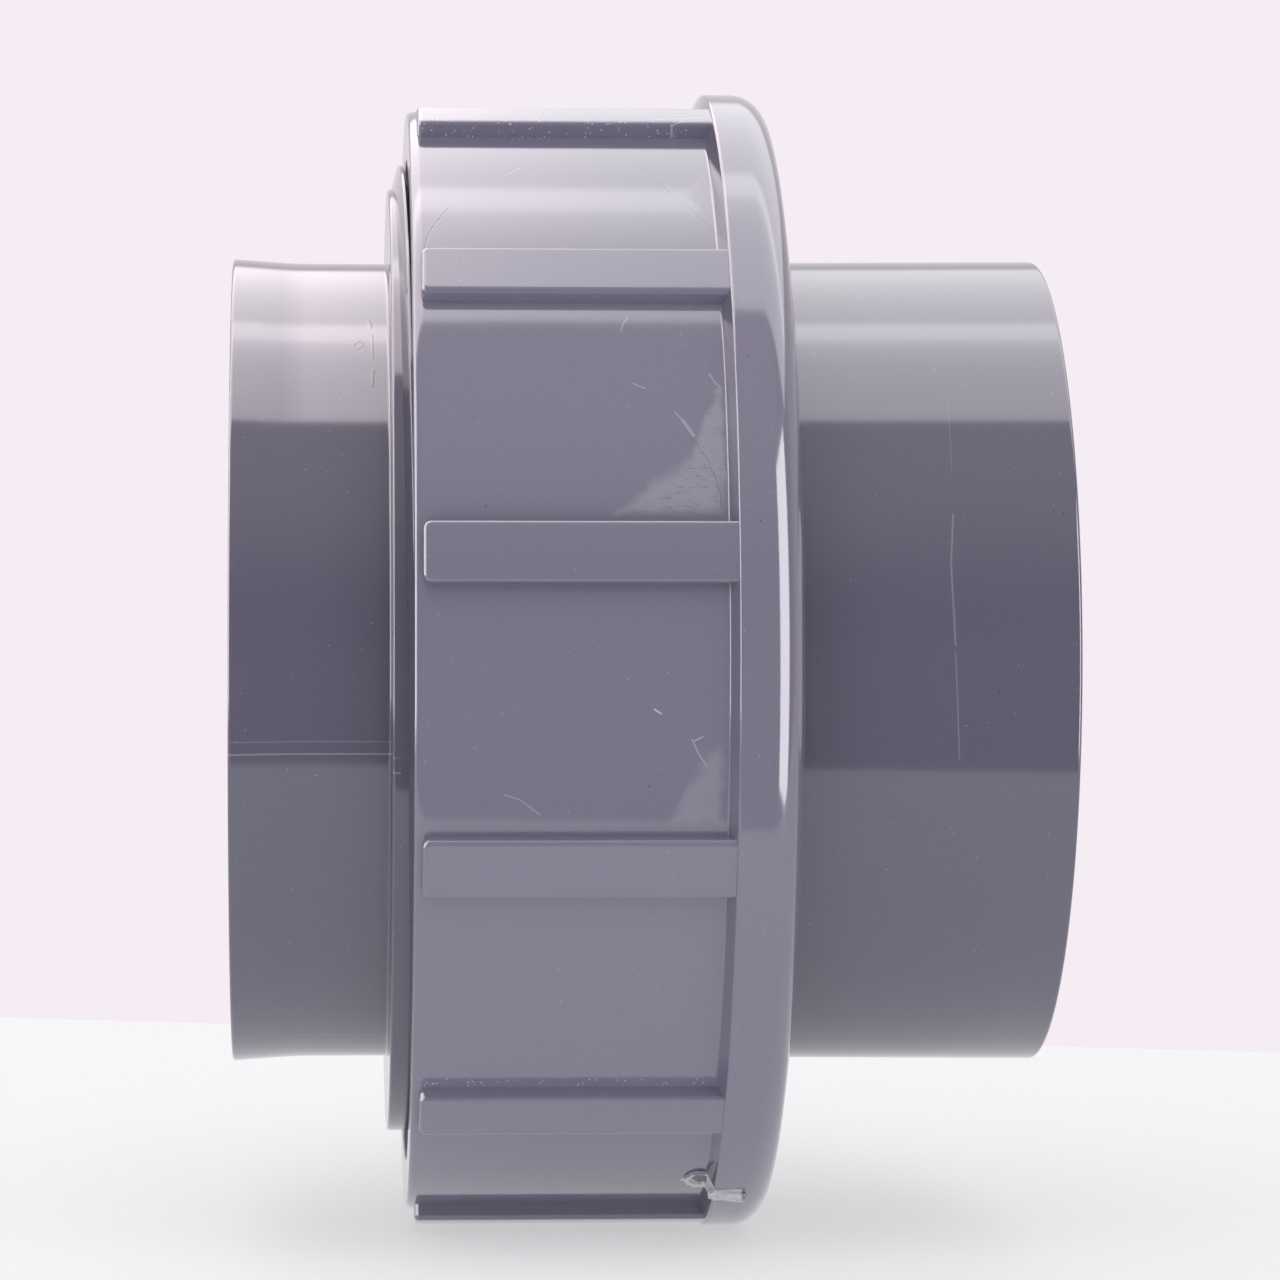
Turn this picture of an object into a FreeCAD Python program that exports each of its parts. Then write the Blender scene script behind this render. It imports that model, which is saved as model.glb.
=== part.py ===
import FreeCAD, Part
import math
import os
import re
import Sketcher

# A union for 110 mm pressure pipe, lying along X. A threaded end and a plain end
# meet face to face, a nut draws them together and a ring seals their faces.
# Each piece is drawn from its own left end and then placed along the pipe's axis.
# Radii are taken from that axis. All sizes are in millimetres and degrees.

PLACE_TOLERANCE = 1e-4

# Driving sizes, one line each
SIZES = {
    "socket_rad": 55.1,
    "socket_depth": 61.0,
    "socket_lead": 1.5,
    "stop_height": 4.1,
    "lip_break": 0.5,
    # threaded end, from its mouth
    "bush_stop": 4.5,
    "bush_wall": 9.17,
    "bush_flare": 0.7,
    "bush_flare_run": 10.0,
    "bush_foot": 0.6,
    "collar_start": 24.8,
    "collar_wall": 21.2,
    "collar_break": 0.5,
    "nose_length": 7.0,
    "nose_chamfer": 1.0,
    # thread, its ridge measured at the crest
    "thread_height": 3.9,
    "thread_pitch": 6.0,
    "thread_crest_width": 1.2,
    "thread_flank_angle": 15.0,
    "thread_gap": 0.4,
    "thread_flank_gap": 0.3,
    "thread_lead_in": 0.96,
    # plain end, from its sealing face
    "tail_stop": 3.3,
    "flange_thickness": 12.0,
    "flange_gap": 0.7,
    "flange_chamfer": 0.8,
    "tail_wall": 9.6,
    "tail_flare": 0.4,
    "tail_foot": 1.0,
    # seal ring and its groove
    "ring_offset": 6.0,
    "ring_height": 4.4,
    "ring_flat": 1.5,
    "ring_side_gap": 0.4,
    "ring_bevel": 1.3,
    # nut, from its mouth
    "nut_offset": 3.0,
    "mouth_gap": 1.2,
    "mouth_depth": 1.2,
    "nut_wall": 8.3,
    "nut_edge": 0.6,
    "chamber_gap": 0.7,
    "ledge_gap": 0.1,
    "ledge_thickness": 8.7,
    "ledge_chamfer": 1.6,
    "hole_gap": 0.8,
    "rim_height": 2.8,
    "rim_width": 7.55,
    "rim_foot": 0.9,
    "rim_round": 4.0,
    "shoulder_rise": 2.53,
    "shoulder_inset": 10.8,
    "shoulder_round": 28.0,
    # grip ribs of the nut
    "rib_count": 12,
    "rib_height": 2.3,
    "rib_width": 9.0,
    "rib_start": 1.25,
    "rib_round": 0.8,
    "rib_sink": 2.0,
    "rib_turn": 11.2,
}

# Sizes worked out from the driving ones
DERIVED = {
    "bush_length": "=socket_depth + bush_stop",
    "tail_length": "=socket_depth + tail_stop",
    "union_length": "=bush_length + tail_length",
    "waterway_rad": "=socket_rad - stop_height",
    "bush_tube_rad": "=socket_rad + bush_wall",
    "bush_lip_rad": "=bush_tube_rad + bush_flare",
    "tail_root_rad": "=socket_rad + tail_wall",
    "tail_lip_rad": "=tail_root_rad + tail_flare",
    "ring_mid_rad": "=socket_rad + ring_offset",
    "thread_root_rad": "=socket_rad + collar_wall",
    "thread_crest_rad": "=thread_root_rad + thread_height",
    "flank_width": "=thread_height * tan(thread_flank_angle * 1 deg)",
    "nose_start": "=bush_length - nose_length",
    "thread_length": "=nose_start - collar_start - thread_lead_in",
    "minor_rad": "=thread_root_rad + thread_gap",
    "major_rad": "=thread_crest_rad + thread_gap",
    "flange_rad": "=minor_rad - flange_gap",
    "groove_width": "=ring_height + ring_flat + 2 * ring_side_gap",
    "nut_start": "=collar_start + nut_offset",
    "mouth_rad": "=thread_crest_rad + mouth_gap",
    "chamber_rad": "=thread_crest_rad + chamber_gap",
    "chamber_start": "=nose_start - nut_start",
    "ledge_at": "=bush_length + flange_thickness + ledge_gap - nut_start",
    "nut_length": "=ledge_at + ledge_thickness",
    "hole_rad": "=tail_lip_rad + hole_gap",
    "panel_rad": "=major_rad + nut_wall",
    "rib_rad": "=panel_rad + rib_height",
    "rim_rad": "=panel_rad + rim_height",
    "shoulder_edge_rad": "=rim_rad - shoulder_inset",
    "rim_start": "=nut_length - shoulder_rise - rim_width",
}


def fill_sheet(document):
    """Write every size into a sheet, with an alias for each value."""
    sheet = document.addObject("Spreadsheet::Sheet", "Sizes")
    rows = [(name, str(value)) for name, value in SIZES.items()]
    rows += list(DERIVED.items())
    for row, (name, value) in enumerate(rows, start=1):
        sheet.set(f"A{row}", name)
        sheet.set(f"B{row}", value)
        sheet.setAlias(f"B{row}", name)
    document.recompute()
    return sheet


def bound(formula):
    """Point each size named in a formula at its cell in the sheet."""
    names = set(SIZES) | set(DERIVED)
    return re.sub(r"[a-z_]+", lambda word: "Sizes." + word[0] if word[0] in names else word[0], formula)


def value_of(piece, formula):
    """Give the number that a formula on the sheet's sizes comes to."""
    result = piece.evalExpression(bound(formula))
    return float(getattr(result, "Value", result))


def new_piece(label):
    """Start a body for one physical piece."""
    body = doc.addObject("PartDesign::Body", label)
    body.Label = label
    return body


def origin_feature(body, role):
    """Find one of the body's own origin planes or axes."""
    return next(feature for feature in body.Origin.OriginFeatures if feature.Role == role)


def tie_size(sketch, constraint, name, formula):
    """Add a named constraint to a sketch and tie its size to the sheet."""
    sketch.renameConstraint(sketch.addConstraint(constraint), name)
    sketch.setExpression(f"Constraints.{name}", bound(formula))


def sketch_outline(body, name, corners, plane="XY_Plane", rounds=()):
    """Draw a closed outline whose corners are tied to the sheet.

    On the XY plane a corner is its distance along the axis and its radius.
    Each round is a corner to round off and the name of its radius.
    """
    sketch = body.newObject("Sketcher::SketchObject", name)
    sketch.AttachmentSupport = [(origin_feature(body, plane), "")]
    sketch.MapMode = "FlatFace"
    points = [FreeCAD.Vector(value_of(body, along), value_of(body, out), 0) for along, out in corners]
    count = len(points)
    for index in range(count):
        sketch.addGeometry(Part.LineSegment(points[index], points[(index + 1) % count]), False)
    for index in range(count):
        sketch.addConstraint(Sketcher.Constraint("Coincident", index, 2, (index + 1) % count, 1))
    for index, (along, out) in enumerate(corners):
        for kind, axis, formula, size in (
            ("DistanceX", -2, along, points[index].x),
            ("DistanceY", -1, out, points[index].y),
        ):
            if formula == "0":
                sketch.addConstraint(Sketcher.Constraint("PointOnObject", index, 1, axis))
                continue
            tie_size(sketch, Sketcher.Constraint(kind, -1, 1, index, 1, size), f"{kind}_{index}", formula)
    for corner, radius in rounds:
        size = value_of(body, radius)
        sketch.fillet(corners.index(corner), 1, size, True, True)
        arc = sketch.GeometryCount - 2
        tie_size(sketch, Sketcher.Constraint("Radius", arc, size), radius, radius)
    return sketch


def turn(body, name, corners, kind="Revolution", rounds=()):
    """Revolve an outline about the pipe's axis, to add to the piece or to cut it."""
    sketch = sketch_outline(body, name + "_outline", corners, rounds=rounds)
    feature = body.newObject("PartDesign::" + kind, name)
    feature.Profile = sketch
    feature.ReferenceAxis = (sketch, ["H_Axis"])
    feature.Angle = 360
    sketch.Visibility = False
    doc.recompute()
    return feature


def wind(body, name, corners, turns, kind):
    """Wind an outline along the thread's helix, to add a ridge or to cut its groove."""
    sketch = sketch_outline(body, name + "_outline", corners)
    feature = body.newObject("PartDesign::" + kind, name)
    feature.Profile = sketch
    feature.ReferenceAxis = (sketch, ["H_Axis"])
    feature.Mode = "pitch-turns-angle"
    feature.Angle = 0
    feature.LeftHanded = False
    feature.setExpression("Pitch", bound("thread_pitch * 1 mm"))
    feature.setExpression("Turns", bound(turns))
    doc.recompute()
    return feature


def ring_edges(body, along, out):
    """Name the circular edges of a piece at a distance along the axis and a radius."""
    place = value_of(body, along)
    radius = value_of(body, out)
    names = []
    for number, edge in enumerate(body.Tip.Shape.Edges, start=1):
        box = edge.BoundBox
        if box.XLength > PLACE_TOLERANCE or abs(box.XMin - place) > PLACE_TOLERANCE:
            continue
        if abs(getattr(edge.Curve, "Radius", 0.0) - radius) < PLACE_TOLERANCE:
            names.append(f"Edge{number}")
    return names


def dress(body, name, kind, size, edges):
    """Round or bevel edges of a piece by a size from the sheet."""
    base = body.Tip
    feature = body.newObject("PartDesign::" + kind, name)
    feature.Base = (base, edges)
    feature.setExpression("Radius" if kind == "Fillet" else "Size", bound(size))
    doc.recompute()
    return feature


def place(body, along):
    """Set a piece at its distance from the middle of the union."""
    body.setExpression("Placement.Base.x", bound(f"({along} - union_length / 2) * 1 mm"))


def ridge_half(rad, gap):
    """Give the formula for half the ridge's width at a radius, with a gap on its flank."""
    return f"thread_crest_width / 2 + (thread_crest_rad - ({rad})) * tan(thread_flank_angle * 1 deg) + {gap}"


def ridge_outline(centre, inner, outer, gap):
    """Give the corners of the thread's ridge, or of the groove that takes it."""
    low = ridge_half(inner, gap)
    high = ridge_half(outer, gap)
    return [
        (f"{centre} - ({low})", inner),
        (f"{centre} + ({low})", inner),
        (f"{centre} + ({high})", outer),
        (f"{centre} - ({high})", outer),
    ]


def build_threaded_end():
    """Make the end with the male thread, and the groove that holds the seal ring."""
    bush = new_piece("threaded_end")
    nose_rad = "thread_root_rad - thread_gap"
    clear_rad = "thread_crest_rad + thread_gap"
    turn(bush, "thread_core", [
        ("collar_start", "socket_rad"),
        ("nose_start", "socket_rad"),
        ("nose_start", "thread_root_rad"),
        ("collar_start", "thread_root_rad"),
    ])
    ridge = ridge_outline("collar_start + thread_lead_in", nose_rad, "thread_crest_rad", "0")
    wind(bush, "thread_ridge", ridge, "thread_length / thread_pitch", "AdditiveHelix")
    # The ridge starts blunt at the collar, whose own edge is broken.
    turn(bush, "collar_face", [
        ("collar_start - thread_pitch", "bush_lip_rad"),
        ("collar_start", "bush_lip_rad"),
        ("collar_start", "thread_root_rad - collar_break"),
        ("collar_start + collar_break", "thread_root_rad"),
        ("collar_start + collar_break", clear_rad),
        ("collar_start - thread_pitch", clear_rad),
    ], "Groove")
    # A cone at the far end leads the nut on to the thread.
    turn(bush, "thread_lead", [
        ("nose_start", "socket_rad"),
        ("nose_start + thread_pitch", "socket_rad"),
        ("nose_start + thread_pitch", clear_rad),
        ("nose_start - 2 * flank_width", clear_rad),
        ("nose_start", "thread_root_rad"),
    ], "Groove")
    turn(bush, "socket_tube", [
        ("0", "socket_rad"),
        ("socket_depth", "socket_rad"),
        ("socket_depth", "waterway_rad"),
        ("bush_length", "waterway_rad"),
        ("bush_length", nose_rad),
        ("collar_start + thread_lead_in", nose_rad),
        ("collar_start + thread_lead_in", "bush_tube_rad"),
        ("bush_flare_run", "bush_tube_rad"),
        ("0", "bush_lip_rad"),
    ])
    turn(bush, "ring_groove", [
        ("bush_length - ring_height", "ring_mid_rad - groove_width / 2"),
        ("bush_length + ring_height", "ring_mid_rad - groove_width / 2"),
        ("bush_length + ring_height", "ring_mid_rad + groove_width / 2"),
        ("bush_length - ring_height", "ring_mid_rad + groove_width / 2"),
    ], "Groove")
    dress(bush, "tube_foot", "Chamfer", "bush_foot", ring_edges(bush, "collar_start", "bush_tube_rad"))
    dress(bush, "lip_edge", "Chamfer", "lip_break", ring_edges(bush, "0", "bush_lip_rad"))
    dress(bush, "socket_edge", "Chamfer", "socket_lead", ring_edges(bush, "0", "socket_rad"))
    dress(bush, "nose_edge", "Chamfer", "nose_chamfer", ring_edges(bush, "bush_length", nose_rad))
    place(bush, "0")
    return bush


def build_plain_end():
    """Make the end that the nut's ledge pulls against the seal ring by its flange."""
    tail = new_piece("plain_end")
    turn(tail, "flange_and_tube", [
        ("0", "waterway_rad"),
        ("tail_stop", "waterway_rad"),
        ("tail_stop", "socket_rad"),
        ("tail_length", "socket_rad"),
        ("tail_length", "tail_lip_rad"),
        ("flange_thickness", "tail_root_rad"),
        ("flange_thickness", "flange_rad"),
        ("0", "flange_rad"),
    ])
    dress(tail, "tube_foot", "Chamfer", "tail_foot", ring_edges(tail, "flange_thickness", "tail_root_rad"))
    dress(tail, "lip_edge", "Chamfer", "lip_break", ring_edges(tail, "tail_length", "tail_lip_rad"))
    rims = ring_edges(tail, "0", "flange_rad") + ring_edges(tail, "flange_thickness", "flange_rad")
    dress(tail, "flange_edges", "Chamfer", "flange_chamfer", rims)
    dress(tail, "socket_edge", "Chamfer", "socket_lead", ring_edges(tail, "tail_length", "socket_rad"))
    place(tail, "bush_length")
    return tail


def build_seal_ring():
    """Make the seal ring as it lies squeezed between the groove and the flange."""
    ring = new_piece("seal_ring")
    inner = "ring_mid_rad - (ring_height + ring_flat) / 2"
    outer = "ring_mid_rad + (ring_height + ring_flat) / 2"
    turn(ring, "ring_section", [
        ("0", inner),
        ("ring_height", inner),
        ("ring_height", outer),
        ("0", outer),
    ])
    corners = [(along, out) for along in ("0", "ring_height") for out in (inner, outer)]
    edges = [name for along, out in corners for name in ring_edges(ring, along, out)]
    dress(ring, "ring_sides", "Chamfer", "ring_bevel", edges)
    place(ring, "bush_length - ring_height")
    return ring


def rib_edges(body):
    """Name the edges round each rib's top: the two long ones and the one at its left end."""
    out = value_of(body, "rib_rad")
    end = value_of(body, "rim_start")
    names = []
    for number, edge in enumerate(body.Tip.Shape.Edges, start=1):
        middle = edge.valueAt((edge.FirstParameter + edge.LastParameter) / 2)
        on_top = isinstance(edge.Curve, Part.Line) and math.hypot(middle.y, middle.z) > out - PLACE_TOLERANCE
        if on_top and edge.BoundBox.XMin < end - PLACE_TOLERANCE:
            names.append(f"Edge{number}")
    return names


def build_union_nut():
    """Make the nut: its shell and shoulder, the female thread and the grip ribs."""
    nut = new_piece("union_nut")
    rim_corner = ("nut_length - shoulder_rise", "rim_rad")
    mouth_cone = "mouth_depth + mouth_rad - minor_rad"
    turn(nut, "shell", [
        ("0", "mouth_rad"),
        ("mouth_depth", "mouth_rad"),
        (mouth_cone, "minor_rad"),
        ("chamber_start", "minor_rad"),
        ("chamber_start", "chamber_rad"),
        ("ledge_at", "chamber_rad"),
        ("ledge_at", "hole_rad"),
        ("nut_length", "hole_rad"),
        ("nut_length", "shoulder_edge_rad"),
        rim_corner,
        ("rim_start", "rim_rad"),
        ("rim_start", "panel_rad"),
        ("0", "panel_rad"),
    ], rounds=[(rim_corner, "rim_round")])
    dress(nut, "shoulder_dome", "Fillet", "shoulder_round",
          ring_edges(nut, "nut_length", "shoulder_edge_rad"))
    dress(nut, "rim_root", "Chamfer", "rim_foot", ring_edges(nut, "rim_start", "panel_rad"))
    dress(nut, "mouth_edge", "Chamfer", "nut_edge", ring_edges(nut, "0", "panel_rad"))
    dress(nut, "ledge_edge", "Chamfer", "ledge_chamfer", ring_edges(nut, "ledge_at", "hole_rad"))
    dress(nut, "hole_edge", "Chamfer", "lip_break", ring_edges(nut, "nut_length", "hole_rad"))
    # The groove takes the ridge at the same place along the axis, one turn before the mouth.
    groove = ridge_outline("thread_lead_in - nut_offset - thread_pitch", "thread_root_rad - thread_gap",
                           "major_rad", "thread_flank_gap")
    wind(nut, "thread_groove", groove, "chamber_start / thread_pitch + 2", "SubtractiveHelix")
    section = sketch_outline(nut, "rib_section", [
        ("-rib_width / 2", "panel_rad - rib_sink"),
        ("rib_width / 2", "panel_rad - rib_sink"),
        ("rib_width / 2", "rib_rad"),
        ("-rib_width / 2", "rib_rad"),
    ], "YZ_Plane")
    section.AttachmentOffset = FreeCAD.Placement(
        FreeCAD.Vector(0, 0, 0), FreeCAD.Rotation(FreeCAD.Vector(0, 0, -1), 1))
    section.setExpression("AttachmentOffset.Base.z", bound("rib_start * 1 mm"))
    section.setExpression("AttachmentOffset.Rotation.Angle", bound("rib_turn * 1 deg"))
    rib = nut.newObject("PartDesign::Pad", "rib")
    rib.Profile = section
    rib.setExpression("Length", bound("(rim_start - rib_start + rib_sink) * 1 mm"))
    doc.recompute()
    ribs = nut.newObject("PartDesign::PolarPattern", "ribs")
    ribs.Originals = [rib]
    ribs.Axis = (origin_feature(nut, "X_Axis"), [""])
    ribs.Angle = 360
    ribs.setExpression("Occurrences", bound("rib_count"))
    nut.Tip = ribs
    doc.recompute()
    dress(nut, "rib_rounds", "Fillet", "rib_round", rib_edges(nut))
    place(nut, "nut_start")
    return nut


def check_and_write(pieces):
    """Stop if any feature failed or a piece is not one sound solid, then write the files."""
    doc.recompute()
    for item in doc.Objects:
        if {"Invalid", "Error"} & set(item.State):
            raise RuntimeError(f"{item.Name} did not build: {item.State}")
    for piece in pieces:
        shape = piece.Shape
        if shape.isNull() or not shape.isValid() or len(shape.Solids) != 1:
            raise RuntimeError(f"{piece.Label} is not one sound solid")
    for piece in pieces:
        piece.Shape.exportStep(f"parts/{piece.Label}.step")
        print(piece.Label, round(piece.Shape.Volume / 1000, 1), "cm3")


doc = FreeCAD.newDocument("pipe_union")
os.makedirs("parts", exist_ok=True)
fill_sheet(doc)
check_and_write([build_threaded_end(), build_plain_end(), build_seal_ring(), build_union_nut()])
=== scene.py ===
import logging
import math
from dataclasses import dataclass
from enum import Enum
from typing import Any, Iterable, Sequence

import bmesh
import bpy
from mathutils import Matrix, Vector, noise


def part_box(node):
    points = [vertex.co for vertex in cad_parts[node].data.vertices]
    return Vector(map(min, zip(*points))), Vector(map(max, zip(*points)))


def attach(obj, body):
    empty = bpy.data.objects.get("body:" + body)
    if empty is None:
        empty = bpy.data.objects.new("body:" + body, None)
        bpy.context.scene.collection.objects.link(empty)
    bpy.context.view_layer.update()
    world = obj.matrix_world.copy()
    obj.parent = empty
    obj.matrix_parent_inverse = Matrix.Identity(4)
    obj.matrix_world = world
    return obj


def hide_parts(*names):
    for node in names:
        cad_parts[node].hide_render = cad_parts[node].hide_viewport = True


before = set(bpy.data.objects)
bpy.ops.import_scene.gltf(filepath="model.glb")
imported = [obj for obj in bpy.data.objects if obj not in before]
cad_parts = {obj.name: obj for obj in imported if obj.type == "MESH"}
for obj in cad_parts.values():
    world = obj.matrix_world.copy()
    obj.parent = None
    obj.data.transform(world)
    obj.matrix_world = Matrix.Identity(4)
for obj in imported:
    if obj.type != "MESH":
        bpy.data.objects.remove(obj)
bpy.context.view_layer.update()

# The union lies along X. Sizes are in millimetres until a mesh is finished, and
# an angle round the pipe is taken from the side that faces the camera, upwards.
MM = 0.001
AXIS = (1.0, 0.0, 0.0)
SHARP_ANGLE = math.radians(38)
log = logging.getLogger("pipe_union")

Colour = tuple[float, float, float]
Place = tuple[float, float, float]


class Slot(Enum):
    """The material slots that the part's record names."""

    GREY_PVC = "grey_pvc"
    SEAL_RUBBER = "seal_rubber"


# Shader maths


class Number:
    """A node's number output that takes part in Python expressions."""

    def __init__(self, bench: "Bench", socket: bpy.types.NodeSocket) -> None:
        """Keep the socket and the bench that makes further nodes."""
        self.bench = bench
        self.socket = socket

    def math(self, operation: str, *terms: Any) -> "Number":
        """Feed terms through one Math node.

        Args:
            operation: the Math node's operation.
            terms: two or three numbers or sockets, in their order.

        Returns:
            The node's result.
        """
        node = self.bench.node("ShaderNodeMath", {"operation": operation}, dict(enumerate(terms)))
        return Number(self.bench, node.outputs[0])

    def __add__(self, other: Any) -> "Number":
        """Give self + other."""
        return self.math("ADD", self, other)

    __radd__ = __add__

    def __sub__(self, other: Any) -> "Number":
        """Give self - other."""
        return self.math("SUBTRACT", self, other)

    def __rsub__(self, other: Any) -> "Number":
        """Give other - self."""
        return self.math("SUBTRACT", other, self)

    def __mul__(self, other: Any) -> "Number":
        """Give self * other."""
        return self.math("MULTIPLY", self, other)

    __rmul__ = __mul__

    def larger(self, other: Any) -> "Number":
        """Give the larger of self and other."""
        return self.math("MAXIMUM", self, other)

    def ease(self, low: float, high: float, start: float = 0.0, end: float = 1.0) -> "Number":
        """Change smoothly from one value to another.

        Args:
            low: where the change starts.
            high: where it ends.
            start: the result at low and before it.
            end: the result at high and after it.

        Returns:
            The eased value.
        """
        node = self.bench.node(
            "ShaderNodeMapRange", {"interpolation_type": "SMOOTHSTEP"},
            {"Value": self, "From Min": low, "From Max": high, "To Min": start, "To Max": end})
        return Number(self.bench, node.outputs["Result"])


class Bench:
    """Makes and joins the nodes of one material or world."""

    def __init__(self, tree: bpy.types.NodeTree) -> None:
        """Start from an empty node tree."""
        tree.nodes.clear()
        self.tree = tree

    def node(self, kind: str, settings: dict[str, Any] | None = None,
             inputs: dict[Any, Any] | None = None) -> bpy.types.Node:
        """Make one node.

        Args:
            kind: the node's type.
            settings: its properties, or a ramp's stops under "stops".
            inputs: values or sockets for its inputs, by name or number.

        Returns:
            The node.
        """
        made = self.tree.nodes.new(kind)
        for name, setting in (settings or {}).items():
            if name == "stops":
                self.set_stops(made.color_ramp, setting)
            else:
                setattr(made, name, setting)
        for key, value in (inputs or {}).items():
            source = getattr(value, "socket", value)
            if isinstance(source, bpy.types.NodeSocket):
                self.tree.links.new(source, made.inputs[key])
            else:
                made.inputs[key].default_value = source
        return made

    @staticmethod
    def set_stops(ramp: bpy.types.ColorRamp, stops: Sequence[tuple[float, float]]) -> None:
        """Give a ramp its stops, each a place and a grey level."""
        while len(ramp.elements) < len(stops):
            ramp.elements.new(1.0)
        for element, (place, level) in zip(ramp.elements, stops):
            element.position = place
            element.color = (level, level, level, 1.0)

    def number(self, kind: str, output: str | int, settings: dict[str, Any] | None = None,
               inputs: dict[Any, Any] | None = None) -> Number:
        """Make one node and give one of its outputs as a number."""
        return Number(self, self.node(kind, settings, inputs).outputs[output])

    def tint(self, share: Number, first: Any, second: Any) -> bpy.types.NodeSocket:
        """Mix two colours.

        Args:
            share: how much of the second colour shows.
            first: a colour or a colour socket.
            second: a colour or a colour socket.

        Returns:
            The mixed colour.
        """
        mix = self.node("ShaderNodeMix", {"data_type": "RGBA"}, {
            "Factor": share, 6: rgba(first), 7: rgba(second)})
        return mix.outputs[2]


def rgba(colour: Any) -> Any:
    """Give a written colour its fourth number and leave a socket as it is."""
    return (*colour, 1.0) if isinstance(colour, tuple) else colour


def start_material(name: str) -> tuple[bpy.types.Material, Bench]:
    """Make an empty material and the bench for its nodes."""
    made = bpy.data.materials.new(name)
    made.use_nodes = True
    return made, Bench(made.node_tree)


# Finishes


@dataclass(frozen=True)
class Skin:
    """A turned surface laid flat: millimetres along the pipe and round it.

    outer is 1 on the outside of the piece and 0 in its bore, and radius turns
    angles into millimetres.
    """

    bench: Bench
    place: bpy.types.NodeSocket
    along: Number
    round: Number
    outer: Number
    radius: float

    def arc(self, degrees: float) -> float:
        """Give how far round the surface an angle lies."""
        return math.radians(degrees) * self.radius

    def noise(self, scale: float, detail: float = 2.0, stretch: Place = (1, 1, 1)) -> Number:
        """Make a cloudy pattern between 0 and 1.

        Args:
            scale: how fine it is, in features to the metre.
            detail: its finer layers.
            stretch: how much finer it is along each axis.

        Returns:
            The pattern.
        """
        turned = self.bench.node("ShaderNodeMapping", None, {"Vector": self.place, "Scale": stretch})
        return self.bench.number("ShaderNodeTexNoise", "Fac", None, {
            "Vector": turned.outputs[0], "Scale": scale, "Detail": detail, "Roughness": 0.5})


@dataclass(frozen=True)
class Mark:
    """A fine line in a surface, through places given along the pipe and as angles.

    tone makes it lighter, or darker if negative; lift raises it, in millimetres;
    core is the share of its width that is at full strength.
    """

    points: tuple[tuple[float, float], ...]
    width: float
    tone: float
    lift: float = 0.0
    core: float = 0.3

    def mask(self, skin: Skin) -> Number:
        """Give 1 on the line and 0 beside it.

        Args:
            skin: the surface.

        Returns:
            The mask.
        """
        nearest = None
        flat = [(along, skin.arc(angle)) for along, angle in self.points]
        for (x0, y0), (x1, y1) in zip(flat, flat[1:]):
            dx, dy = x1 - x0, y1 - y0
            square = dx * dx + dy * dy
            share = skin.round.math("MULTIPLY_ADD", skin.along, dx / square, skin.round.math(
                "MULTIPLY_ADD", skin.round, dy / square, -(x0 * dx + y0 * dy) / square))
            share = share.math("MINIMUM", share.larger(0.0), 1.0)
            off_x = share.math("MULTIPLY_ADD", share, -dx, skin.along - x0)
            off_y = share.math("MULTIPLY_ADD", share, -dy, skin.round - y0)
            gap = off_x.math("MULTIPLY_ADD", off_y, off_y, off_x * off_x)
            nearest = gap if nearest is None else nearest.math("MINIMUM", nearest, gap)
        return nearest.ease((self.core * self.width) ** 2, self.width ** 2, 1.0, 0.0)


@dataclass(frozen=True)
class Patch:
    """A patch where the surface differs, with straight sides that wander a little.

    corners go round it clockwise as it is seen, each along the pipe and as an
    angle. tone makes it lighter, or darker if negative, dull takes its gloss,
    grain is how deep its roughness is in millimetres and cracks how dark the
    fine cracks in it are. Its edge wanders by a cloudy pattern of ragged
    features to the metre.
    """

    corners: tuple[tuple[float, float], ...]
    tone: float
    dull: float = 0.0
    grain: float = 0.0
    cracks: float = 0.0
    wander: float = 2.4
    soft: float = 1.2
    ragged: float = 260.0

    def mask(self, skin: Skin) -> Number:
        """Give 1 in the patch and 0 outside it.

        Args:
            skin: the surface.

        Returns:
            The mask.
        """
        depth = None
        flat = [(along, skin.arc(angle)) for along, angle in self.corners]
        for (x0, y0), (x1, y1) in zip(flat, flat[1:] + flat[:1]):
            length = math.hypot(x1 - x0, y1 - y0)
            nx, ny = (y1 - y0) / length, -(x1 - x0) / length
            inside = skin.round.math("MULTIPLY_ADD", skin.along, nx, skin.round.math(
                "MULTIPLY_ADD", skin.round, ny, -(x0 * nx + y0 * ny)))
            depth = inside if depth is None else depth.math("MINIMUM", depth, inside)
        return (depth + (skin.noise(self.ragged, 4.0) - 0.5) * self.wander).ease(0.0, self.soft)


@dataclass(frozen=True)
class Specks:
    """Scattered specks.

    scale is how close they lie, in cells to the metre, reach a speck's size as a
    share of its cell, and tone how strong they are.
    """

    scale: float
    reach: float
    tone: float

    def mask(self, skin: Skin) -> Number:
        """Give 1 on the specks and 0 elsewhere."""
        cells = skin.bench.number("ShaderNodeTexVoronoi", "Distance", None,
                                  {"Vector": skin.place, "Scale": self.scale})
        return cells.ease(0.5 * self.reach, self.reach, 1.0, 0.0)


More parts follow.
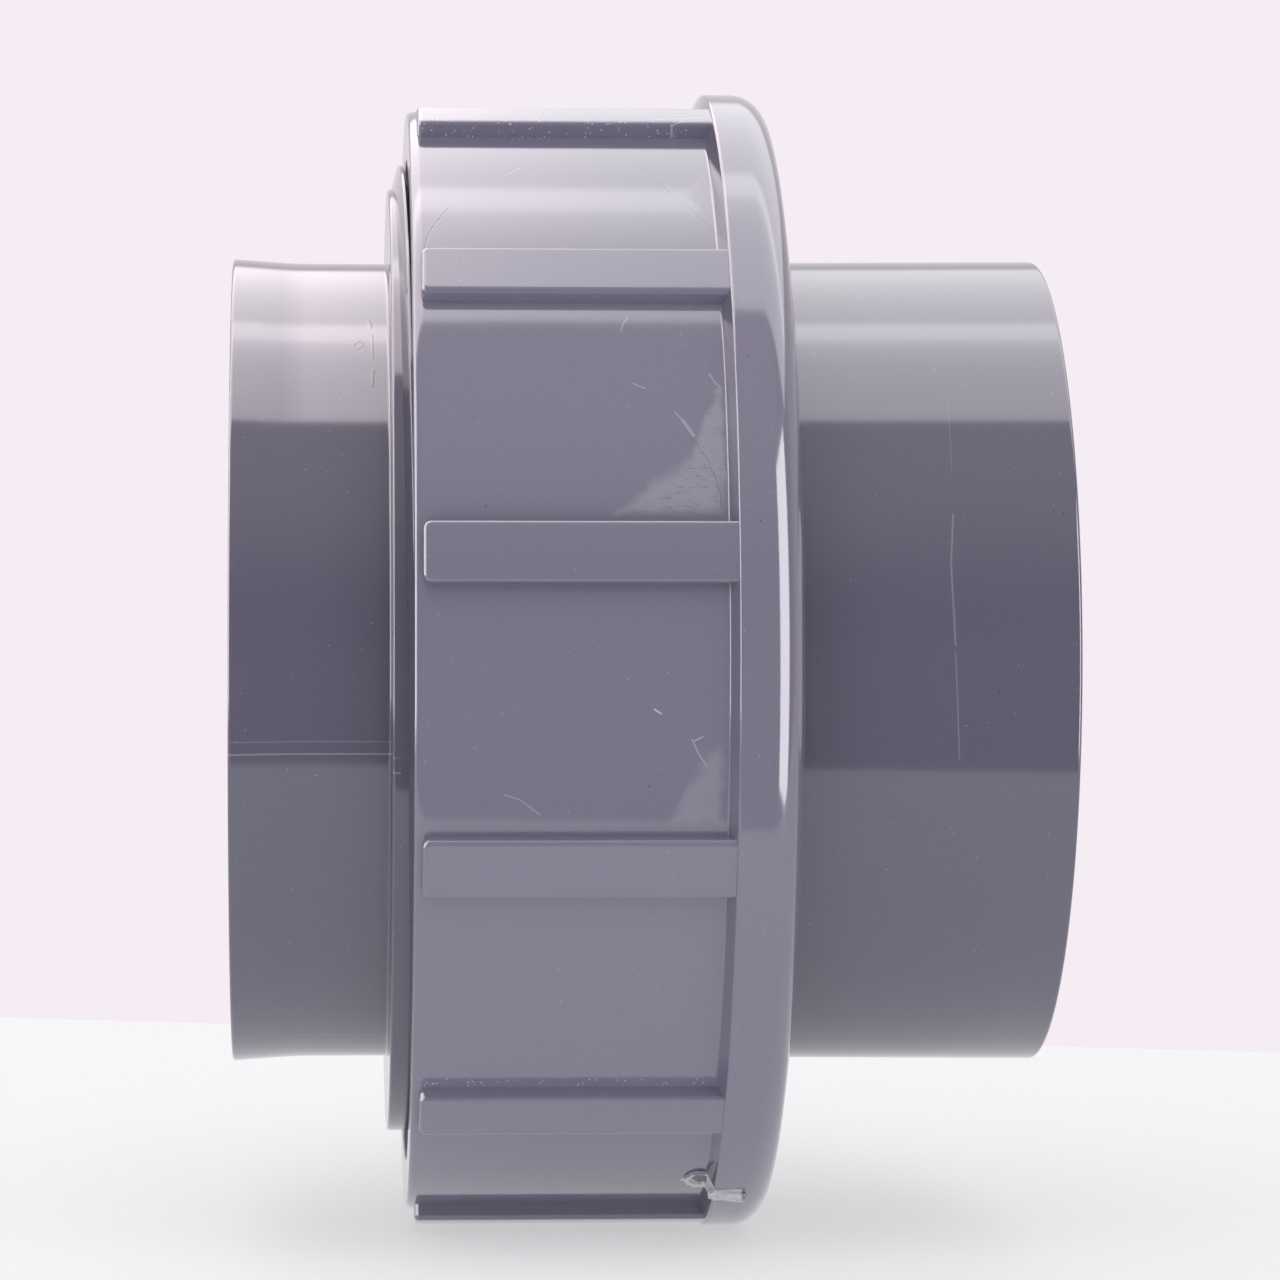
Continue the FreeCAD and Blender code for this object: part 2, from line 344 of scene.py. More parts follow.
@dataclass(frozen=True)
class Dust:
    """Bright dust along the foot of a rib, between two angles, up to the rim."""

    low: float
    high: float
    end: float = 8.0
    fade: float = 0.3
    end_fade: float = 0.5
    specks: Specks = Specks(1500.0, 0.26, 0.7)

    def band(self, skin: Skin) -> Number:
        """Give 1 between the angles and 0 elsewhere."""
        low, high = skin.arc(self.low), skin.arc(self.high)
        band = skin.round.ease(low - self.fade, low) * skin.round.ease(high, high + self.fade, 1.0, 0.0)
        return band * skin.along.ease(self.end, self.end + self.end_fade, 1.0, 0.0)

    def mask(self, skin: Skin) -> Number:
        """Give how strong the dust is, in loose clusters.

        Args:
            skin: the surface.

        Returns:
            The mask.
        """
        clusters = skin.noise(420.0).ease(0.42, 0.55)
        return self.specks.mask(skin) * clusters * self.band(skin) * self.specks.tone


@dataclass(frozen=True)
class GlossyPvc:
    """Dark blue-grey moulded PVC with a high gloss, and the flaws that one piece has.

    radius is the surface that the flaws and painted shade are placed on, wall how
    far inside it they end, density the gloss's refractive index and sway how deep the
    slow waves of the moulding are, in millimetres. pale and dark are the colours of the
    flaws, and dark is also that of the painted shade.
    """

    name: str
    radius: float
    colour: Colour
    roughness: float = 0.10
    density: float = 1.7
    sway: float = 0.04
    marks: tuple[Mark, ...] = ()
    patches: tuple[Patch, ...] = ()
    dust: tuple[Dust, ...] = ()
    pale: Colour = (0.62, 0.60, 0.63)
    dark: Colour = (0.012, 0.011, 0.014)
    wall: float = 7.5
    wall_fade: float = 0.4
    pale_specks: Specks = Specks(420.0, 0.05, 0.40)
    dark_specks: Specks = Specks(150.0, 0.03, 0.60)
    speck_dullness: float = 0.5
    roughening: float = 0.3

    def skin(self, bench: Bench) -> Skin:
        """Lay the piece's turned surface flat.

        Args:
            bench: the material's bench.

        Returns:
            The surface with its coordinates.
        """
        place = bench.node("ShaderNodeTexCoord").outputs["Object"]
        parts = bench.node("ShaderNodeSeparateXYZ", None, {0: place})
        along, across, up = (Number(bench, parts.outputs[axis]) for axis in "XYZ")
        angle = up.math("ARCTAN2", up, 0 - across)
        out = up.math("SQRT", across * across + up * up)
        inside = self.radius - self.wall
        outer = out.ease((inside - self.wall_fade) * MM, (inside + self.wall_fade) * MM)
        return Skin(bench, place, along * (1 / MM), angle * self.radius, outer, self.radius)

    def material(self) -> bpy.types.Material:
        """Make the material.

        Returns:
            The material.
        """
        made, bench = start_material(self.name)
        skin = self.skin(bench)
        height = skin.noise(22.0) * self.sway
        light = self.pale_specks.mask(skin) * self.pale_specks.tone
        dark = self.dark_specks.mask(skin) * self.dark_specks.tone
        dull = light * self.speck_dullness
        for dust in self.dust:
            light = light.larger(dust.mask(skin))
        for mark in self.marks:
            mask = mark.mask(skin) * skin.outer
            if mark.tone > 0:
                light = light.larger(mask * mark.tone)
            else:
                dark = dark.larger(mask * -mark.tone)
            if mark.lift:
                height = height + mask * mark.lift
        for patch in self.patches:
            mask = patch.mask(skin) * skin.outer
            if patch.tone > 0:
                light = light.larger(mask * patch.tone)
            else:
                dark = dark.larger(mask * -patch.tone)
            dull = dull.larger(mask * patch.dull)
            if patch.grain:
                height = height + mask * skin.noise(900.0, 5.0, (0.6, 2.0, 2.0)) * patch.grain
            if patch.cracks:
                lines = skin.noise(1900.0, 5.0, (0.5, 1.8, 1.8)).ease(0.55, 0.66)
                dark = dark.larger(mask * lines * patch.cracks)
        bump = bench.node("ShaderNodeBump", None, {"Height": height, "Strength": 1.0, "Distance": MM})
        colour = bench.tint(dark, bench.tint(light, self.colour, self.pale), self.dark)
        shader = bench.node("ShaderNodeBsdfPrincipled", None, {
            "Base Color": colour, "Roughness": self.roughness + dull * self.roughening, "IOR": self.density,
            "Normal": bump.outputs["Normal"]})
        bench.node("ShaderNodeOutputMaterial", None, {"Surface": shader.outputs["BSDF"]})
        return made


@dataclass(frozen=True)
class BlackRubber:
    """Matt black rubber of the seal ring."""

    name: str = "black_rubber"
    colour: Colour = (0.02, 0.02, 0.02)
    roughness: float = 0.55
    density: float = 1.5

    def material(self) -> bpy.types.Material:
        """Make the material.

        Returns:
            The material.
        """
        made, bench = start_material(self.name)
        shader = bench.node("ShaderNodeBsdfPrincipled", None, {
            "Base Color": rgba(self.colour), "Roughness": self.roughness, "IOR": self.density})
        bench.node("ShaderNodeOutputMaterial", None, {"Surface": shader.outputs["BSDF"]})
        return made


# The flaws of this one union, and the painted shade in the pit of its gate mark, placed along the pipe and
# by angle
END_MARKS = (
    Mark(((-70.0, -10.1), (-39.0, -10.1)), 0.12, 0.08, 0.010),
    Mark(((-70.0, -11.8), (-39.0, -11.8)), 0.15, 0.20, 0.012),
    Mark(((45.5, 21.0), (44.9, 14.0), (45.4, 3.0)), 0.20, 0.16),
    Mark(((45.4, 2.0), (46.2, -12.6)), 0.16, 0.12),
    Mark(((45.8, 39.0), (45.6, 27.0)), 0.12, 0.08),
    Mark(((-44.8, 51.5), (-44.3, 50.4), (-45.3, 49.6), (-45.8, 50.6), (-44.8, 51.5)), 0.25, -0.25, 0.02),
    Mark(((-43.4, 56.6), (-43.1, 54.8)), 0.30, -0.22, 0.02),
    Mark(((-42.9, 52.8), (-42.9, 50.4), (-42.8, 47.5)), 0.18, -0.16, 0.02),
    Mark(((-42.8, 45.0), (-42.9, 42.0)), 0.25, -0.16, 0.02),
)
NUT_MARKS = (
    Mark(((-31.4, 51.9), (-32.9, 50.0), (-34.0, 48.5), (-34.8, 46.9), (-35.2, 45.3), (-34.9, 44.4)),
         0.13, -0.75, -0.02),
    Mark(((-23.9, -11.9), (-21.6, -12.4), (-18.6, -13.9)), 0.12, 0.25),
    Mark(((-4.6, 28.6), (-2.7, 28.0)), 0.12, 0.32),
    Mark(((1.6, 25.5), (3.1, 24.2)), 0.16, 0.22),
    Mark(((2.7, 24.6), (4.3, 23.0)), 0.34, 0.24),
    Mark(((3.9, 22.6), (5.0, 21.9), (5.1, 21.3), (6.3, 20.6), (6.5, 19.7), (7.3, 18.9), (7.4, 18.0),
          (8.0, 17.2), (8.0, 15.6)), 0.11, -0.32, -0.02),
    Mark(((7.0, 29.6), (7.7, 28.7), (8.5, 28.2)), 0.2, 0.22),
    Mark(((-22.2, 58.3), (-20.1, 59.8)), 0.12, 0.30),
    Mark(((-5.0, 36.2), (-5.7, 35.5), (-6.0, 34.6)), 0.22, 0.20),
    Mark(((-1.9, -3.7), (-0.9, -4.1)), 0.16, 0.6),
    Mark(((3.7, -6.6), (4.3, -7.4), (4.9, -8.2), (5.9, -9.1)), 0.16, 0.25),
    Mark(((4.1, -6.7), (5.3, -6.3)), 0.10, 0.5),
    Mark(((-1.4, 60.7), (4.4, 53.0), (10.0, 46.9)), 0.40, -0.08, -0.006),
    Mark(((9.0, 70.0), (2.0, 69.2)), 0.14, 0.35),
    Mark(((8.8, 69.0), (4.0, 68.2)), 0.12, 0.30),
)
NUT_PATCHES = (
    Patch(((-10.4, 14.5), (3.7, 21.3), (9.2, 24.1), (9.2, 14.5)), 0.16, 0.25, 0.06, 0.24, 3.0, 2.0),
    Patch(((3.7, 19.5), (3.7, 21.3), (7.6, 28.4), (9.3, 28.4), (9.3, 18.0)), 0.16, 0.25, 0.05, 0.16),
    Patch(((0.9, -13.0), (5.6, -7.4), (8.8, -6.8), (9.1, -15.2), (-0.9, -15.2)),
          0.10, 0.15, 0.02, 0.0, 3.4, 1.8),
    Patch(((4.1, 55.0), (9.3, 62.0), (10.2, 63.5), (10.0, 46.9)), -0.24, 0.6, 0.04, 0.0, 1.2, 1.6),
    Patch(((5.2, -65.6), (7.0, -63.1), (10.6, -62.9), (11.6, -66.4), (8.6, -67.8)),
          0.95, 1.0, 0.08, 0.4, 0.5, 0.3),
    Patch(((8.8, -63.6), (14.9, -62.9), (15.2, -65.8), (9.6, -66.6)), 0.80, 1.0, 0.06, 0.4, 0.4, 0.3),
    # painted shade: this dark patch inside the gate mark's ring stands for the shade in its pit
    Patch(((6.9, -64.9), (8.1, -63.6), (9.7, -63.8), (9.7, -65.8), (8.4, -66.5)),
          -0.85, 1.0, 0.10, 0.0, 0.4, 0.3),
)
NUT_DUST = (Dust(67.4, 69.2), Dust(-45.6, -44.6))


# Shaping


@dataclass(frozen=True)
class Corner:
    """A corner of a turned outline.

    along is its distance from the piece's left end, out its radius from the
    pipe's axis, soft how far its rounding reaches along the sides.
    """

    along: float
    out: float
    soft: float = 0.0


def radius_of(vert: bmesh.types.BMVert) -> float:
    """Give a vertex's distance from the pipe's axis."""
    return math.hypot(vert.co.y, vert.co.z)


def set_radius(vert: bmesh.types.BMVert, radius: float) -> None:
    """Move a vertex straight out from the axis, or in, to a radius."""
    share = radius / radius_of(vert)
    vert.co.y *= share
    vert.co.z *= share


def soften(bm: bmesh.types.BMesh, edges: list[bmesh.types.BMEdge], size: float, segments: int) -> None:
    """Round edges of a mesh.

    Args:
        bm: the mesh.
        edges: the edges to round.
        size: how far the rounding reaches from the edge.
        segments: the number of faces across it.
    """
    bmesh.ops.bevel(bm, geom=edges, offset=size, offset_type="OFFSET", segments=segments,
                    profile=0.5, affect="EDGES", clamp_overlap=True, material=-1)


def draw_outline(bm: bmesh.types.BMesh, corners: Iterable[Corner], segments: int = 5) -> None:
    """Draw a closed outline above the axis and round its corners.

    Args:
        bm: an empty mesh.
        corners: the outline's corners in their order.
        segments: the number of steps in each rounding.
    """
    corners = list(corners)
    verts = [bm.verts.new((corner.along, 0.0, corner.out)) for corner in corners]
    for index, vert in enumerate(verts):
        bm.edges.new((vert, verts[(index + 1) % len(verts)]))
    for corner, vert in zip(corners, verts):
        if corner.soft:
            bmesh.ops.bevel(bm, geom=[vert], offset=corner.soft, offset_type="OFFSET",
                            segments=segments, profile=0.5, affect="VERTICES",
                            clamp_overlap=False, material=-1)


def turn(bm: bmesh.types.BMesh, steps: int) -> None:
    """Turn the outline in a mesh once round the axis and close it.

    Args:
        bm: a mesh that holds an outline and nothing else.
        steps: the number of faces round the axis.
    """
    bmesh.ops.spin(bm, geom=bm.verts[:] + bm.edges[:], cent=(0, 0, 0), axis=AXIS, dvec=(0, 0, 0),
                   angle=math.tau, steps=steps, use_merge=True, use_normal_flip=False,
                   use_duplicate=False)
    close_up(bm)


def close_up(bm: bmesh.types.BMesh) -> None:
    """Merge doubles, drop faces of no size and point all faces outwards."""
    bmesh.ops.remove_doubles(bm, verts=bm.verts[:], dist=0.002)
    bmesh.ops.dissolve_degenerate(bm, dist=0.0005, edges=bm.edges[:])
    bmesh.ops.recalc_face_normals(bm, faces=bm.faces[:])


@dataclass
class Ridge:
    """One turn after turn of a thread's ridge, wound as a closed bar.

    centre is its middle where the winding starts, at the side away from the
    camera; foot and crest are its widths at the radii low and high.
    """

    centre: float
    turns: float
    pitch: float
    low: float
    high: float
    foot: float
    crest: float
    steps_per_turn: int = 96

    def wind(self) -> bmesh.types.BMesh:
        """Wind the ridge's section along a right-handed helix.

        Returns:
            A mesh with the closed bar.
        """
        bm = bmesh.new()
        section = [(-self.foot, self.low), (self.foot, self.low),
                   (self.crest, self.high), (-self.crest, self.high)]
        verts = [bm.verts.new((self.centre + width / 2, radius, 0.0)) for width, radius in section]
        bm.faces.new(verts)
        steps = round(self.turns * self.steps_per_turn)
        bmesh.ops.spin(bm, geom=bm.faces[:], cent=(0, 0, 0), axis=AXIS,
                       dvec=(self.pitch * self.turns / steps, 0, 0), angle=math.tau * self.turns,
                       steps=steps, use_merge=False, use_normal_flip=False, use_duplicate=False)
        bmesh.ops.recalc_face_normals(bm, faces=bm.faces[:])
        return bm


def cut(bm: bmesh.types.BMesh, place: Place, outwards: Place) -> None:
    """Cut away what lies beyond a plane.

    Args:
        bm: the mesh to cut.
        place: a point of the plane.
        outwards: the direction of what is cut away.
    """
    bmesh.ops.bisect_plane(bm, geom=bm.verts[:] + bm.edges[:] + bm.faces[:], dist=0.0001,
                           plane_co=place, plane_no=outwards, clear_outer=True)


def trim(bm: bmesh.types.BMesh, along: float, side: int, cap: bool = True) -> None:
    """Cut a bar off square to the axis.

    Args:
        bm: the mesh to cut.
        along: where the cut is.
        side: -1 cuts off what lies left of it, 1 what lies right.
        cap: whether the cut is closed; one that sinks into a wall stays open.
    """
    cut(bm, (along, 0, 0), (side, 0, 0))
    if cap:
        open_edges = [edge for edge in bm.edges if edge.is_boundary]
        caps = bmesh.ops.holes_fill(bm, edges=open_edges, sides=0)["faces"]
        bmesh.ops.triangulate(bm, faces=caps, quad_method="BEAUTY", ngon_method="BEAUTY")
        bmesh.ops.recalc_face_normals(bm, faces=bm.faces[:])


def absorb(bm: bmesh.types.BMesh, other: bmesh.types.BMesh) -> None:
    """Add another mesh to this one as a shell of its own."""
    carrier = bpy.data.meshes.new("carrier")
    other.to_mesh(carrier)
    other.free()
    bm.from_mesh(carrier)
    bpy.data.meshes.remove(carrier)


def link_mesh(bm: bmesh.types.BMesh, name: str, material: bpy.types.Material) -> bpy.types.Object:
    """Turn a mesh into an object of the scene.

    Args:
        bm: the mesh in metres, which is freed.
        name: the name of the object and its mesh.
        material: its finish.

    Returns:
        The object.
    """
    mesh = bpy.data.meshes.new(name)
    bm.to_mesh(mesh)
    bm.free()
    mesh.materials.append(material)
    made = bpy.data.objects.new(name, mesh)
    bpy.context.scene.collection.objects.link(made)
    return made


def set_down(bm: bmesh.types.BMesh, node: str, body: str,
             material: bpy.types.Material) -> bpy.types.Object:
    """Turn a mesh into the finished piece that stands for a node.

    Args:
        bm: the mesh in millimetres, from the node's left end.
        node: the solid's node that it replaces.
        body: the body that it rides on.
        material: its finish.

    Returns:
        The piece's object.
    """
    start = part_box(node)[0].x
    bmesh.ops.scale(bm, vec=(MM, MM, MM), verts=bm.verts[:])
    bmesh.ops.translate(bm, vec=(start, 0.0, 0.0), verts=bm.verts[:])
    for face in bm.faces:
        face.smooth = True
    for edge in bm.edges:
        edge.smooth = len(edge.link_faces) == 2 and edge.calc_face_angle() < SHARP_ANGLE
    piece = link_mesh(bm, node + "_skin", material)
    shading = piece.modifiers.new("even_shading", "WEIGHTED_NORMAL")
    shading.keep_sharp = True
    shading.weight = 90
    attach(piece, body)
    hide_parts(node)
    log.info("%s: %d faces", piece.name, len(piece.data.polygons))
    return piece


# Pieces


@dataclass
class ThreadedEnd:
    """The end with the male thread, its collar and the seal ring's groove."""

    socket: float = 55.1
    waterway: float = 51.0
    tube: float = 64.27
    lip: float = 64.97
    flare_run: float = 10.0
    depth: float = 61.0
    length: float = 65.5
    collar: float = 24.8
    root: float = 76.3
    crest: float = 80.2
    nose: float = 58.5
    nose_rad: float = 75.9
    groove: tuple[float, float, float] = (61.1, 57.75, 64.45)
    pitch: float = 6.0
    lead_in: float = 0.50
    crest_width: float = 0.55
    flank_width: float = 1.045
    sunk: float = 0.6
    edge_soft: float = 0.25
    steps: int = 288

    def outline(self) -> list[Corner]:
        """Give the corners of the turned body."""
        bottom, inner, outer = self.groove
        return [
            Corner(0, self.socket, 1.4), Corner(self.depth, self.socket, 0.3),
            Corner(self.depth, self.waterway, 0.4), Corner(self.length, self.waterway, 0.4),
            Corner(self.length, inner, 0.2), Corner(bottom, inner, 0.3),
            Corner(bottom, outer, 0.3), Corner(self.length, outer, 0.2),
            Corner(self.length, self.nose_rad, 1.0), Corner(self.nose, self.nose_rad, 0.2),
            Corner(self.nose - 0.6, self.root, 0.2), Corner(self.collar, self.root, 0.45),
            Corner(self.collar, self.tube, 0.6), Corner(self.flare_run, self.tube, 2.0),
            Corner(0, self.lip, 0.55),
        ]

    def thread(self) -> bmesh.types.BMesh:
        """Wind the male ridge, square at the collar and fading out at the nose.

        Returns:
            A mesh with the closed ridge.
        """
        low = self.root - self.sunk
        grow = 2 * self.flank_width / (self.crest - self.root)
        start = self.collar + self.lead_in
        foot = self.crest_width + grow * (self.crest - low)
        bm = Ridge(start, (self.nose - start) / self.pitch, self.pitch, low, self.crest,
                   foot, self.crest_width).wind()
        trim(bm, self.collar + 0.5, -1)
        slope = (self.crest - self.root) / (2 * self.flank_width)
        for vert in bm.verts:
            cone = self.root + (self.nose - vert.co.x) * slope
            if radius_of(vert) > cone:
                set_radius(vert, max(cone, low))
        top = [edge for edge in bm.edges
               if all(radius_of(vert) > self.crest - 0.01 for vert in edge.verts)
               and edge.calc_face_angle(0.0) > SHARP_ANGLE]
        soften(bm, top, self.edge_soft, 3)
        return bm

    def build(self, material: bpy.types.Material) -> bpy.types.Object:
        """Make the piece.

        Args:
            material: its finish.

        Returns:
            The piece's object.
        """
        bm = bmesh.new()
        draw_outline(bm, self.outline())
        turn(bm, self.steps)
        absorb(bm, self.thread())
        return set_down(bm, "threaded_end", "threaded_end", material)


@dataclass
class PlainEnd:
    """The end with the flange that the nut's ledge pulls on."""

    socket: float = 55.1
    waterway: float = 51.0
    stop: float = 3.3
    length: float = 64.3
    root: float = 64.7
    lip: float = 65.1
    flange: float = 76.0
    thickness: float = 12.0
    steps: int = 288

    def outline(self) -> list[Corner]:
        """Give the corners of the turned body."""
        return [
            Corner(0, self.waterway, 0.4), Corner(self.stop, self.waterway, 0.4),
            Corner(self.stop, self.socket, 0.3), Corner(self.length, self.socket, 1.4),
            Corner(self.length, self.lip, 0.6), Corner(self.thickness, self.root, 1.0),
            Corner(self.thickness, self.flange, 0.8), Corner(0, self.flange, 0.8),
        ]

    def build(self, material: bpy.types.Material) -> bpy.types.Object:
        """Make the piece.

        Args:
            material: its finish.

        Returns:
            The piece's object.
        """
        bm = bmesh.new()
        draw_outline(bm, self.outline())
        turn(bm, self.steps)
        return set_down(bm, "plain_end", "plain_end", material)


@dataclass
class SealRing:
    """The rubber ring, flattened where the groove and the flange press it."""

    middle: float = 61.1
    height: float = 4.4
    flat: float = 1.5
    steps: int = 192

    def build(self, material: bpy.types.Material) -> bpy.types.Object:
        """Make the piece.

        Args:
            material: its finish.

        Returns:
            The piece's object.
        """
        half = (self.height + self.flat) / 2
        bm = bmesh.new()
        draw_outline(bm, [Corner(along, self.middle + side * half, self.height / 2 - 0.005)
                          for along, side in ((0, -1), (self.height, -1), (self.height, 1), (0, 1))], 8)
        turn(bm, self.steps)
        return set_down(bm, "seal_ring", "threaded_end", material)


@dataclass
class GateMark:
    """The torn ring and tab that are left on the nut where the mould was filled.

    at and angle are the ring's place. ring and wire are its radius and its
    thickness, and stretch widens it round the pipe. The tab lies beside it, by
    tab_off and tab_tilt. torn is how far the surface is pushed about; the noise for
    it takes its seed from the clock unless it is given one, so seed keeps it the same.
    """

    at: float = 45.5
    angle: float = -64.9
    ring: float = 2.0
    wire: float = 0.45
    stretch: Place = (1.0, 1.55, 0.9)
    tab: Place = (6.0, 2.6, 1.3)
    tab_soft: float = 0.55
    tab_off: tuple[float, float] = (4.2, 0.4)
    tab_tilt: float = -0.12
    raised: float = 0.1
    torn: float = 0.22
    torn_scale: float = 1.1
    seed: int = 65

    def build(self, panel: float, rim: float) -> bmesh.types.BMesh:
        """Make the mark.

        Args:
            panel: the radius that the ring lies on.
            rim: the radius that the tab lies on.

        Returns:
            A mesh with the mark.
        """
        bm = bmesh.new()
        wire = bmesh.ops.create_circle(bm, segments=8, radius=self.wire)["verts"]
        bmesh.ops.translate(bm, vec=(self.ring, 0, 0), verts=wire)
        bmesh.ops.rotate(bm, cent=(0, 0, 0), matrix=Matrix.Rotation(math.pi / 2, 3, "X"), verts=wire)
        bmesh.ops.spin(bm, geom=bm.verts[:] + bm.edges[:], cent=(0, 0, 0), axis=(0, 0, 1), dvec=(0, 0, 0),
                       angle=math.tau, steps=28, use_merge=True, use_normal_flip=False,
                       use_duplicate=False)
        bmesh.ops.scale(bm, vec=self.stretch, verts=bm.verts[:])
        bmesh.ops.translate(bm, vec=(self.at, 0, panel + self.raised), verts=bm.verts[:])
        tab = bmesh.ops.create_cube(bm, size=1.0)["verts"]
        bmesh.ops.scale(bm, vec=self.tab, verts=tab)
        soften(bm, [edge for edge in bm.edges if edge.verts[0].co.z < panel / 2], self.tab_soft, 3)
        tab = [vert for vert in bm.verts if vert.co.z < panel / 2]
        bmesh.ops.rotate(bm, cent=(0, 0, 0), matrix=Matrix.Rotation(self.tab_tilt, 3, "Y"), verts=tab)
        seat = (self.at + self.tab_off[0], self.tab_off[1], rim + self.raised)
        bmesh.ops.translate(bm, vec=seat, verts=tab)
        noise.seed_set(self.seed)
        for vert in bm.verts:
            vert.co += self.torn * noise.noise_vector(vert.co * self.torn_scale)
        turned = Matrix.Rotation(math.radians(90 - self.angle), 3, "X")
        bmesh.ops.rotate(bm, cent=(0, 0, 0), matrix=turned, verts=bm.verts[:])
        bmesh.ops.recalc_face_normals(bm, faces=bm.faces[:])
        return bm


@dataclass
class UnionNut:
    """The ribbed nut with its rim, rounded shoulder and female thread."""

    length: float = 58.3
    mouth: float = 81.4
    mouth_depth: float = 1.2
    major: float = 80.6
    minor: float = 76.7
    chamber: float = 80.9
    chamber_start: float = 30.7
    ledge: float = 49.8
    hole: float = 65.9
    panel: float = 88.9
    edge_drop: float = 0.4
    edge_run: float = 1.1
    rim: float = 91.85
    rim_start: float = 47.77
    rim_run: float = 1.4
    shoulder_start: float = 56.6
    shoulder_round: float = 4.2
    shoulder_edge: float = 80.9
    rib: float = 91.45
    rib_start: float = 1.25
    rib_count: int = 12
    rib_arc: float = 5.86
    rib_turn: float = 11.12
    rib_soft: float = 0.8
    rib_corner: float = 1.2
    pitch: float = 6.0
    groove_at: float = -8.3
    groove_foot: float = 3.676
    groove_top: float = 1.586
    steps: int = 360
    rib_steps: int = 6

    def outline(self) -> list[Corner]:
        """Give the corners of the turned shell."""
        cone = self.mouth_depth + self.mouth - self.major
        return [
            Corner(0, self.mouth, 0.3), Corner(self.mouth_depth, self.mouth), Corner(cone, self.major),
            Corner(self.chamber_start, self.major), Corner(self.chamber_start, self.chamber),
            Corner(self.ledge, self.chamber, 0.4), Corner(self.ledge, self.hole, 1.5),
            Corner(self.length, self.hole, 0.5), Corner(self.length, self.shoulder_edge, 3.0),
            Corner(self.shoulder_start, self.rim, self.shoulder_round),
            Corner(self.rim_start, self.rim, 0.35), Corner(self.rim_start - self.rim_run, self.panel, 0.3),
            Corner(self.edge_run, self.panel, 0.5), Corner(0, self.panel - self.edge_drop, 0.45),
        ]

    def ribs(self) -> bmesh.types.BMesh:
        """Make one rib, sunk into the shell and the rim, and repeat it round the axis.

        Returns:
            A mesh with all the ribs.
        """
        bm = bmesh.new()
        base = self.panel - 1.0
        far = self.rim_start + 2.0
        corners = [(self.rib_start, base), (self.rib_start, self.rib), (far, self.rib), (far, base)]
        bm.faces.new([bm.verts.new((along, 0.0, out)) for along, out in corners])
        start = math.radians(90 - self.rib_turn - self.rib_arc / 2)
        bmesh.ops.rotate(bm, cent=(0, 0, 0), matrix=Matrix.Rotation(start, 3, "X"), verts=bm.verts[:])
        bmesh.ops.spin(bm, geom=bm.faces[:], cent=(0, 0, 0), axis=AXIS, dvec=(0, 0, 0),
                       angle=math.radians(self.rib_arc), steps=self.rib_steps, use_merge=False,
                       use_normal_flip=False, use_duplicate=False)
        bmesh.ops.recalc_face_normals(bm, faces=bm.faces[:])
        uprights = [edge for edge in bm.edges
                    if all(vert.co.x < self.rib_start + 0.01 for vert in edge.verts)
                    and edge.calc_face_angle(0.0) > SHARP_ANGLE
                    and abs(radius_of(edge.verts[0]) - radius_of(edge.verts[1])) > 1.0]
        soften(bm, uprights, self.rib_corner, 5)
        tops = [edge for edge in bm.edges
                if all(radius_of(vert) > self.rib - 0.05 for vert in edge.verts)
                and edge.calc_face_angle(0.0) > SHARP_ANGLE
                and min(vert.co.x for vert in edge.verts) < far - 0.1]
        soften(bm, tops, self.rib_soft, 4)
        bmesh.ops.spin(bm, geom=bm.verts[:] + bm.edges[:] + bm.faces[:], cent=(0, 0, 0), axis=AXIS,
                       dvec=(0, 0, 0), angle=math.tau * (self.rib_count - 1) / self.rib_count,
                       steps=self.rib_count - 1, use_merge=False, use_normal_flip=False,
                       use_duplicate=True)
        bmesh.ops.recalc_face_normals(bm, faces=bm.faces[:])
        return bm

    def thread(self) -> bmesh.types.BMesh:
        """Wind the female ridge, which fades out into the mouth's cone.

        Returns:
            A mesh with the closed ridge.
        """
        centre = self.groove_at + self.pitch / 2
        high = self.major + 0.5
        ridge = Ridge(centre, 7.0, self.pitch, self.minor, high,
                      self.pitch - self.groove_foot, self.pitch - self.groove_top)
        bm = ridge.wind()
        trim(bm, self.chamber_start - 0.01, 1)
        trim(bm, self.mouth_depth, -1, cap=False)
        for vert in bm.verts:
            cone = self.mouth - (vert.co.x - self.mouth_depth)
            if radius_of(vert) < cone:
                set_radius(vert, min(cone, high))
        return bm

    def build(self, material: bpy.types.Material) -> bpy.types.Object:
        """Turn the shell and add the ribs, the thread and the mark of the gate.

        Args:
            material: its finish.

        Returns:
            The piece's object.
        """
        bm = bmesh.new()
        draw_outline(bm, self.outline())
        turn(bm, self.steps)
        absorb(bm, self.ribs())
        absorb(bm, self.thread())
        absorb(bm, GateMark().build(self.panel, self.rim))
        return set_down(bm, "union_nut", "union_nut", material)


# Table, light and camera


